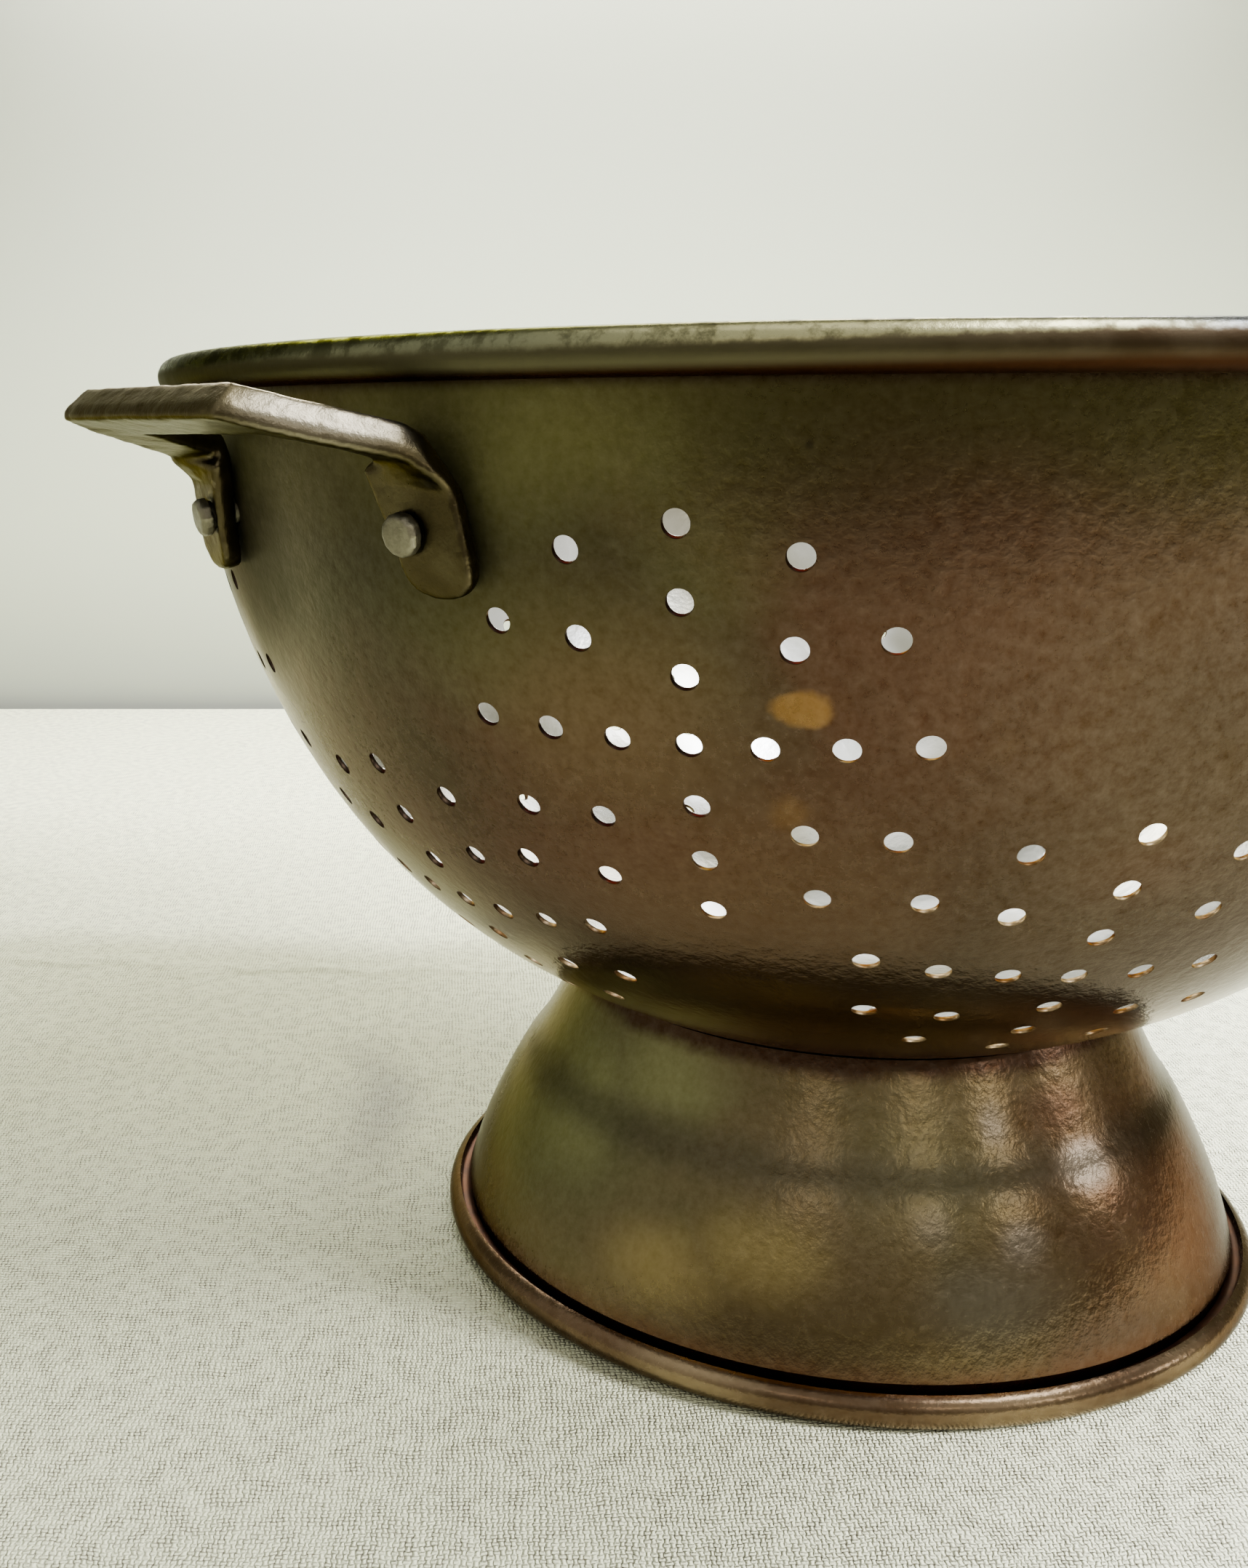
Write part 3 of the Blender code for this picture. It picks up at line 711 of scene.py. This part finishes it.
def punched_edge():
    mat, t = start_material("punched_edge")
    where = place(t)
    cloud = noise_tex(t, where, 300.0, 3.0, 0.6)
    colour = mix(t, ramp(t, cloud, 0.40, 0.60), (0.20, 0.15, 0.09), (0.070, 0.038, 0.015))
    x, _, _ = split(t, where)
    # Painted shade: the punched edges are darker towards the left handle, where holes near the
    # silhouette show as dark dashes.
    colour = mix(t, ramp(t, x, -0.098, -0.078), (0.018, 0.012, 0.008), colour)
    finish_material(t, colour, 0.42, 1.0, bump(t, cloud, 0.0001, 0.6), (0.40, 0.34, 0.26))
    return mat


def rim_bead():
    """Tin wiped over the top of the bead, its pale top at the left and middle partly a painted
    highlight; brown copper on its lower half.
    """
    mat, t = start_material("rim_bead")
    where = place(t)
    cloud = noise_tex(t, where, 60.0, 4.0, 0.6)
    fine = noise_tex(t, where, 500.0, 4.0, 0.65)
    marks = noise_tex(t, where, 240.0, 5.0, 0.72)
    x, _, z = split(t, where)
    left = opposite(t, ramp(t, x, -0.122, -0.072))
    level = plus(t, z, left, 0.0013)
    level = calc(t, "ADD", level, swing(t, fine, 0.0010))
    wash = ramp(t, level, 0.1623, 0.1633)
    tin = mix(t, ramp(t, marks, 0.46, 0.62), (0.110, 0.118, 0.160), (0.045, 0.042, 0.042))
    # Pale olive and yellow tops for the left and middle: the bead's olive-brass, partly a
    # painted highlight along its top.
    yellow = mix(t, ramp(t, marks, 0.46, 0.66), (0.340, 0.320, 0.175), (0.120, 0.112, 0.060))
    grey = mix(t, ramp(t, marks, 0.42, 0.62), (0.155, 0.158, 0.095), (0.075, 0.075, 0.042))
    middle = spot(t, where, around(-140, 126, 161), (0.050, 0.050, 0.05), 0.9)
    top = mix(t, ramp(t, x, -0.086, -0.060), mix(t, middle, grey, yellow), tin)
    brown = mix(t, ramp(t, cloud, 0.38, 0.62), (0.040, 0.026, 0.014), (0.066, 0.048, 0.030))
    brown = mix(t, times(t, left, 0.9), brown, (0.090, 0.084, 0.046))
    colour = mix(t, wash, brown, top)
    shade = plus(t, z, left, 0.0008)
    colour = mix(t, ramp(t, shade, 0.1606, 0.1592), colour, (0.024, 0.009, 0.003))
    rough = plus(t, 0.12, marks, 0.30)
    rough = plus(t, rough, opposite(t, wash), 0.22)
    edge = mix(t, left, (0.66, 0.66, 0.68), (0.28, 0.28, 0.25))
    finish_material(t, colour, rough, 1.0, bump(t, fine, 0.00012, 0.6), edge)
    return mat


def foot_copper():
    mat, t = start_material("foot_copper")
    where = place(t)
    cloud = noise_tex(t, where, 34.0, 5.0, 0.62, 0.4)
    broad = noise_tex(t, where, 12.0, 3.0, 0.5)
    smear = noise_tex(t, where, 130.0, 4.0, 0.6)
    lean = swing(t, cloud, 0.8)
    colour = mix(t, ramp(t, cloud, 0.35, 0.65), (0.096, 0.069, 0.030), (0.120, 0.086, 0.041))
    olive = masks(t, where, lean, ((170, 62, 34, (0.062, 0.050, 0.034), 0.8, 0.85),
                                   (-128, 58, 34, (0.022, 0.022, 0.026), 0.9, 0.40)))
    colour = mix(t, olive, colour, (0.112, 0.110, 0.048))
    ochre = masks(t, where, lean, ((-164, 69, 17, (0.018, 0.018, 0.010), 0.9, 0.45),
                                   (-150, 68, 22, (0.018, 0.018, 0.010), 0.9, 0.45)))
    colour = mix(t, ochre, colour, (0.400, 0.310, 0.110))
    # Pale patches; the one at 173° is painted light over a dark reflection there.
    pale = masks(t, where, lean, ((173, 60.6, 34.5, (0.016, 0.016, 0.018), 0.9, 0.95),
                                  (-172, 55, 43, (0.018, 0.018, 0.012), 0.9, 0.80)))
    colour = mix(t, pale, colour, (0.190, 0.190, 0.080))
    ashen = masks(t, where, lean, ((-119, 69.2, 17.5, (0.019, 0.019, 0.009), 0.9, 0.75),))
    colour = mix(t, ashen, colour, (0.160, 0.142, 0.104))
    pink = masks(t, where, lean, ((-72, 66, 22, (0.058, 0.058, 0.060), 0.80, 0.95),
                                  (-100, 56, 42, (0.016, 0.016, 0.009), 0.90, 0.80)))
    colour = mix(t, pink, colour, (0.088, 0.0400, 0.0210))
    dim = masks(t, where, lean, ((-100, 73, 8, (0.036, 0.036, 0.012), 0.9, 0.80),
                                 (-150, 73, 8, (0.040, 0.040, 0.008), 0.9, 0.45)))
    colour = mix(t, dim, colour, (0.040, 0.021, 0.012))
    # Painted highlights: lighter spots on the skirt where the lamps reflect, at the dent, on the
    # lower skirt and near the neck.
    painted_sheen = masks(t, where, lean, ((-98.7, 60.4, 33.9, (0.0085, 0.0085, 0.0050), 0.8, 0.80),
                                  (-113.6, 65.6, 25.2, (0.0060, 0.0060, 0.0050), 0.9, 0.75),
                                  (-126.8, 63.9, 28.0, (0.0060, 0.0060, 0.0060), 0.9, 0.45),
                                  (-114.5, 55.6, 41.1, (0.0040, 0.0040, 0.0060), 0.9, 0.55)))
    colour = mix(t, painted_sheen, colour, (0.165, 0.138, 0.108))
    x, y, z = split(t, where)
    rim = calc(t, "ADD", z, swing(t, smear, 0.004))
    colour = mix(t, times(t, ramp(t, rim, 0.0471, 0.0500), 0.92), colour,
                 (0.034, 0.012, 0.005))
    # Painted shade along the crease band, for the dark underside of the bowl that it reflects;
    # kept off the painted highlights.
    crease = times(t, ramp(t, rim, 0.0285, 0.0340), opposite(t, ramp(t, rim, 0.0350, 0.0405)))
    clear = calc(t, "SUBTRACT", 0.55, painted_sheen)
    colour = mix(t, calc(t, "MULTIPLY", crease, clear, clamp=True), colour,
                 (0.042, 0.035, 0.021))
    low = opposite(t, ramp(t, rim, 0.0055, 0.0105))
    spread = node(t, "ShaderNodeCombineXYZ", {0: x, 1: y}).outputs[0]
    radius = node(t, "ShaderNodeVectorMath", {0: spread}, operation="LENGTH")
    bead = ramp(t, radius.outputs["Value"], 0.0741, 0.0748)
    colour = mix(t, times(t, low, 0.85), colour, (0.080, 0.033, 0.014))
    # Painted highlights on the foot's bead.
    painted_bead_highlight = masks(t, where, lean, ((-157, 77, 5, (0.016, 0.016, 0.010), 0.9, 0.85),
                                    (-118, 77, 5, (0.018, 0.018, 0.010), 0.9, 0.45),
                                    (-92, 77, 5, (0.012, 0.012, 0.010), 0.9, 0.35)))
    lip = mix(t, ramp(t, cloud, 0.38, 0.62), (0.086, 0.050, 0.026), (0.115, 0.070, 0.038))
    lip = mix(t, painted_bead_highlight, lip, (0.280, 0.205, 0.120))
    colour = mix(t, bead, colour, lip)
    colour, coarse, fine = leather(t, where, colour, 0.26)
    rough = plus(t, 0.17, cloud, 0.10)
    rough = plus(t, rough, fine, 0.08)
    dull = masks(t, where, lean, ((176, 60, 34, (0.042, 0.042, 0.034), 0.9, 0.22),))
    rough = calc(t, "ADD", rough, dull)
    edge = mix(t, ramp(t, x, -0.030, 0.0), EDGE_TINT, (0.46, 0.46, 0.46))
    edge = mix(t, ramp(t, y, -0.004, 0.020), edge, (0.48, 0.46, 0.41))
    finish_material(t, colour, rough, 1.0, oxide_normal(t, coarse, fine, broad), edge)
    return mat


def cast_brass():
    mat, t = start_material("cast_brass")
    where = place(t)
    cloud = noise_tex(t, where, 70.0, 5.0, 0.62, 0.3)
    sand = noise_tex(t, where, 700.0, 4.0, 0.7)
    # Pointy edges lighter: edge wear, with painted sheen where the light catches them.
    painted_sheen = ramp(t, node(t, "ShaderNodeNewGeometry").outputs["Pointiness"], 0.51, 0.60)
    colour = mix(t, ramp(t, cloud, 0.36, 0.64), (0.047, 0.0365, 0.0168), (0.078, 0.064, 0.0330))
    # Lighter top face of the near arm: rubbed brass, with a painted highlight where the light
    # falls on it.
    rubbed_and_lit_arm = spot(t, where, (-0.1310, -0.0270, 0.1550), (0.018, 0.011, 0.0070), 0.6)
    colour = mix(t, times(t, rubbed_and_lit_arm, 0.85), colour, (0.205, 0.182, 0.135))
    colour = mix(t, times(t, painted_sheen, 0.40), colour, (0.22, 0.19, 0.13))
    colour = mix(t, times(t, ramp(t, sand, 0.56, 0.72), 0.45), colour,
                 (0.045, 0.034, 0.016))
    # Painted shade: faces turned downwards get a darker colour and a duller grazing tint.
    facing = node(t, "ShaderNodeNewGeometry").outputs["Normal"]
    _, _, up = split(t, facing)
    colour = mix(t, ramp(t, up, -0.9, -0.5), (0.030, 0.026, 0.014), colour)
    rough = plus(t, 0.22, sand, 0.18)
    edge = mix(t, ramp(t, up, -0.45, 0.0), (0.42, 0.41, 0.34), (0.88, 0.81, 0.69))
    finish_material(t, colour, rough, 1.0, bump(t, sand, 0.00020, 0.6), edge)
    return mat


def rivet_metal():
    mat, t = start_material("rivet_metal")
    where = place(t)
    cloud = noise_tex(t, where, 260.0, 4.0, 0.6)
    sand = noise_tex(t, where, 1400.0, 3.0, 0.7)
    colour = mix(t, ramp(t, cloud, 0.38, 0.62), (0.152, 0.140, 0.102), (0.232, 0.216, 0.165))
    rough = plus(t, 0.34, sand, 0.2)
    finish_material(t, colour, rough, 1.0, bump(t, sand, 0.00018, 0.6))
    return mat


def plain_metal(name, light, dark, rough):
    mat, t = start_material(name)
    where = place(t)
    cloud = noise_tex(t, where, 220.0, 4.0, 0.6)
    colour = mix(t, ramp(t, cloud, 0.35, 0.65), dark, light)
    uneven = plus(t, rough, cloud, 0.15)
    finish_material(t, colour, uneven, 1.0, bump(t, cloud, 0.00015, 0.5))
    return mat


THREAD_PITCH = 0.85 * MM


def strip(tree, value, middle, half_width):
    """Soft band where a value lies near its middle."""
    gap = calc(tree, "ABSOLUTE", calc(tree, "SUBTRACT", value, middle))
    return ramp(tree, gap, half_width, 0.0)


def linen():
    mat, t = start_material("linen")
    where = place(t)
    drift = node(t, "ShaderNodeTexNoise", {"Vector": where, "Scale": 120.0, "Detail": 3.0})
    shift = node(t, "ShaderNodeVectorMath", {0: drift.outputs["Color"], 3: 0.0022},
                 operation="SCALE")
    warped = node(t, "ShaderNodeVectorMath", {0: where, 1: shift.outputs[0]}, operation="ADD")
    waves = []
    for turn in (VIEW_TURN, VIEW_TURN - math.pi / 2):
        run = along(t, warped.outputs[0], heading(turn))
        waves.append(calc(t, "SINE", times(t, run, math.pi / THREAD_PITCH)))
    over = times(t, times(t, waves[0], waves[1]), 3.0)
    over = calc(t, "MAXIMUM", calc(t, "MINIMUM", over, 1.0), -1.0)
    threads = []
    for wave, lift in zip(waves, (0.35, -0.35)):
        high = plus(t, 0.65, over, lift)
        threads.append(times(t, calc(t, "ABSOLUTE", wave), high))
    weave = calc(t, "MAXIMUM", threads[0], threads[1])
    soft = noise_tex(t, where, 7.0, 4.0, 0.55)
    slub = noise_tex(t, where, 260.0, 4.0, 0.7)
    folds = noise_tex(t, where, 16.0, 2.0, 0.4, 0.8)
    ahead, side = heading(VIEW_TURN), heading(VIEW_TURN - math.pi / 2)
    far, right = along(t, where, ahead), along(t, where, side)
    drawn = calc(t, "ADD", far, swing(t, soft, 0.13))
    shaded = spot(t, where, tuple(ahead * 0.11 - side * 0.15), (0.20, 0.20, 1.0), 0.9,
                  swing(t, soft, 0.8))
    colour = mix(t, shaded, (0.56, 0.58, 0.41), (0.53, 0.545, 0.345))
    # Painted light: the cloth is lighter towards the right and the far side, with a soft wavy
    # edge where the light ends.
    colour = mix(t, ramp(t, right, -0.06, 0.08), colour, (0.92, 0.94, 0.72))
    colour = mix(t, ramp(t, drawn, 0.145, 0.185), colour, (0.79, 0.81, 0.57))
    colour = mix(t, ramp(t, drawn, 0.20, 0.36), colour, (0.97, 0.99, 0.72))
    # Painted shadow: a soft dark strip on the cloth beside the foot, where the colander's shadow
    # falls.
    bent = calc(t, "ADD", right, swing(t, folds, 0.03))
    painted_shadow = times(t, strip(t, bent, -0.096, 0.017), strip(t, far, 0.045, 0.060))
    colour = mix(t, times(t, painted_shadow, 0.85), colour, (0.30, 0.30, 0.23))
    specks = node(t, "ShaderNodeTexVoronoi", {"Vector": where, "Scale": 15.0})
    speck = ramp(t, specks.outputs["Distance"], 0.010, 0.006)
    colour = mix(t, times(t, speck, 0.8), colour, (0.12, 0.11, 0.09))
    uneven = noise_tex(t, where, 300.0, 4.0, 0.75)
    colour = mix(t, times(t, ramp(t, slub, 0.45, 0.75), 0.22), colour,
                 (0.52, 0.51, 0.40))
    gaps = times(t, ramp(t, weave, 0.70, 0.26), ramp(t, uneven, 0.42, 0.60))
    colour = mix(t, gaps, colour, (0.12, 0.11, 0.08))
    # Painted shade: the cloth fades dark towards and behind the camera, where the light falls
    # off.
    back = along(t, where, -ahead)
    colour = mix(t, ramp(t, back, 0.32, 0.50), colour, (0.16, 0.15, 0.11))
    normal = bump(t, weave, 0.00060, 0.8)
    normal = bump(t, uneven, 0.00050, 0.8, normal)
    normal = bump(t, slub, 0.0007, 0.7, normal)
    pressed = times(t, strip(t, drawn, 0.140, 0.007), strip(t, right, -0.15, 0.14))
    normal = bump(t, pressed, 0.0022, 0.7, normal)
    normal = bump(t, folds, 0.006, 0.5, normal)
    normal = bump(t, soft, 0.012, 0.45, normal)
    finish_material(t, colour, 0.95, 0.0, normal)
    return mat


def plaster():
    mat, t = start_material("plaster")
    where = place(t)
    soft = noise_tex(t, where, 3.0, 3.0, 0.5)
    colour = mix(t, soft, (0.56, 0.60, 0.49), (0.60, 0.64, 0.53))
    _, _, z = split(t, where)
    # Painted shade: the wall darker just above the table edge.
    colour = mix(t, ramp(t, z, -0.02, 0.11), (0.33, 0.35, 0.32), colour)
    # Painted shade: the wall darker higher up, against the strong overhead light there.
    colour = mix(t, ramp(t, z, 0.12, 0.36), colour, (0.27, 0.285, 0.23))
    finish_material(t, colour, 0.9, 0.0, bump(t, noise_tex(t, where, 40.0, 4.0), 0.0006, 0.3))
    return mat


# ------------------------------------------------------------------ set, light, camera

CAMERA_TURN = math.radians(-141.0)
CAMERA_OUT, CAMERA_Z = 301.5 * MM, 152.1 * MM
VIEW_TURN = math.radians(52.5)
VIEW_DOWN = math.radians(11.44)
WALL_AWAY = 0.574


def heading(turn, down=0.0):
    return Vector((math.cos(turn) * math.cos(down), math.sin(turn) * math.cos(down),
                   -math.sin(down)))


def add_sheet(name, corners, material, cuts=1):
    bm = bmesh.new()
    face = bm.faces.new([bm.verts.new(c) for c in corners])
    bmesh.ops.subdivide_edges(bm, edges=face.edges[:], cuts=cuts, use_grid_fill=True)
    mesh = bpy.data.meshes.new(name)
    bm.to_mesh(mesh)
    bm.free()
    obj = link_mesh(name, mesh, [material])
    return obj


def add_set():
    ahead, side = heading(VIEW_TURN), heading(VIEW_TURN - math.pi / 2)
    far, wide, near = ahead * WALL_AWAY, side * 2.2, -ahead * 1.6
    cloth = add_sheet("table_cloth", [near - wide, near + wide, far + wide, far - wide],
                      linen(), 8)
    low, high = Vector((0, 0, -0.10)), Vector((0, 0, 1.7))
    back = far + ahead * 0.012
    add_sheet("back_wall", [back - wide + low, back + wide + low, back + wide + high,
                            back - wide + high], plaster(), 4)
    return cloth


def add_area(name, turn_deg, up_deg, away, size, power, colour=(1, 1, 1), target=(0, 0, 0.09)):
    data = bpy.data.lights.new(name, "AREA")
    data.shape, data.size, data.size_y = "RECTANGLE", size[0], size[1]
    data.energy, data.color = power, colour
    obj = bpy.data.objects.new(name, data)
    direction = heading(math.radians(turn_deg), -math.radians(up_deg))
    obj.location = Vector(target) + direction * away
    obj.rotation_mode = "QUATERNION"
    obj.rotation_quaternion = (-direction).to_track_quat("-Z", "Y")
    bpy.context.scene.collection.objects.link(obj)
    return obj


def add_world():
    world = bpy.data.worlds.new("room")
    world.use_nodes = True
    t = world.node_tree
    t.nodes.clear()
    where = node(t, "ShaderNodeTexCoord").outputs["Generated"]
    _, _, z = split(t, where)
    colour = mix(t, ramp(t, z, 0.05, 0.75), (0.38, 0.33, 0.22), (1.05, 1.05, 0.93))
    toward = along(t, where, heading(VIEW_TURN + math.radians(95)))
    colour = mix(t, times(t, ramp(t, toward, 0.60, 0.95), 0.8), colour,
                 (0.82, 0.80, 0.66))
    seen = node(t, "ShaderNodeLightPath").outputs["Is Camera Ray"]
    colour = mix(t, seen, colour, (0.80, 0.82, 0.74))
    back = node(t, "ShaderNodeBackground", {"Color": colour, "Strength": 1.0})
    node(t, "ShaderNodeOutputWorld", {"Surface": back.outputs[0]})
    bpy.context.scene.world = world


def add_lights(cloth):
    ahead, side = heading(VIEW_TURN), heading(VIEW_TURN - math.pi / 2)
    add_area("overhead_far", 52.5, 85, 0.48, (0.60, 0.25), 13.5, (1.0, 0.99, 0.93),
             ahead * 0.43 - side * 0.02)
    add_area("ceiling", 52.5, 80, 1.6, (1.2, 1.2), 4.4, (1.0, 0.99, 0.92))
    only_cloth = bpy.data.collections.new("cloth_only")
    only_cloth.objects.link(cloth)
    front = add_area("front_fill", -58, 38, 0.85, (0.25, 0.25), 42.0, (1.0, 0.99, 0.94),
                     -ahead * 0.12 + side * 0.24)
    front.light_linking.receiver_collection = only_cloth
    add_area("window", -52, 78, 0.75, (0.4, 0.4), 9.5, (0.97, 0.98, 1.0), (0.05, -0.17, 0))
    add_area("lamp_behind", -148, 34, 2.0, (0.08, 0.08), 0.9, (1.0, 0.92, 0.80))
    add_area("lamp_mid", -109, 31, 2.0, (0.08, 0.08), 1.4, (1.0, 0.92, 0.80))
    add_area("lamp_right", -81, 25, 2.0, (0.07, 0.07), 2.1, (1.0, 0.94, 0.86))
    add_area("lamp_far_right", -50, 17, 2.0, (0.08, 0.08), 3.2, (1.0, 0.97, 0.92))


def add_camera():
    data = bpy.data.cameras.new("camera")
    data.sensor_width, data.lens = 36.0, 36.04
    data.shift_x, data.shift_y = 0.0902, -0.0217
    obj = bpy.data.objects.new("camera", data)
    obj.location = heading(CAMERA_TURN) * CAMERA_OUT + Vector((0, 0, CAMERA_Z))
    obj.rotation_mode = "QUATERNION"
    obj.rotation_quaternion = heading(VIEW_TURN, VIEW_DOWN).to_track_quat("-Z", "Y")
    bpy.context.scene.collection.objects.link(obj)
    bpy.context.scene.camera = obj


# ------------------------------------------------------------------ assembly

def stand_in(obj, node_name):
    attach(obj, "root")
    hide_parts(node_name)


def build_pieces():
    brass, rivet = cast_brass(), rivet_metal()
    bowl = build_bowl([copper_outside(), tin_inside(), punched_edge(), rim_bead()])
    stand_in(bowl, "bowl")
    stand_in(build_foot([foot_copper()]), "foot")
    wire = plain_metal("wire_copper", (0.085, 0.036, 0.018), (0.045, 0.019, 0.011), 0.5)
    stand_in(build_wire("foot_wire_round", "foot_wire", FOOT_WIRE_R, [wire]),
             "foot_wire")
    tin = plain_metal("wire_tinned", (0.40, 0.38, 0.33), (0.22, 0.20, 0.16), 0.4)
    stand_in(build_wire("rim_wire_round", "rim_wire", RIM_WIRE_R, [tin]), "rim_wire")
    solder = plain_metal("soft_solder", (0.48, 0.47, 0.45), (0.26, 0.25, 0.24), 0.42)
    stand_in(build_solder([solder]), "foot_solder")
    for label in ("left", "right"):
        cast = cast_from(f"handle_{label}_cast", f"handle_{label}", 0.42 * MM, 7,
                         0.10 * MM, 260.0, [brass])
        stand_in(cast, f"handle_{label}")
        for tag in ("a", "b"):
            head = cast_from(f"rivet_{label}_{tag}_hammered", f"rivet_{label}_{tag}",
                             0.2 * MM, 5, 0.07 * MM, 420.0, [rivet])
            stand_in(head, f"rivet_{label}_{tag}")


build_pieces()
cloth = add_set()
add_world()
add_lights(cloth)
add_camera()
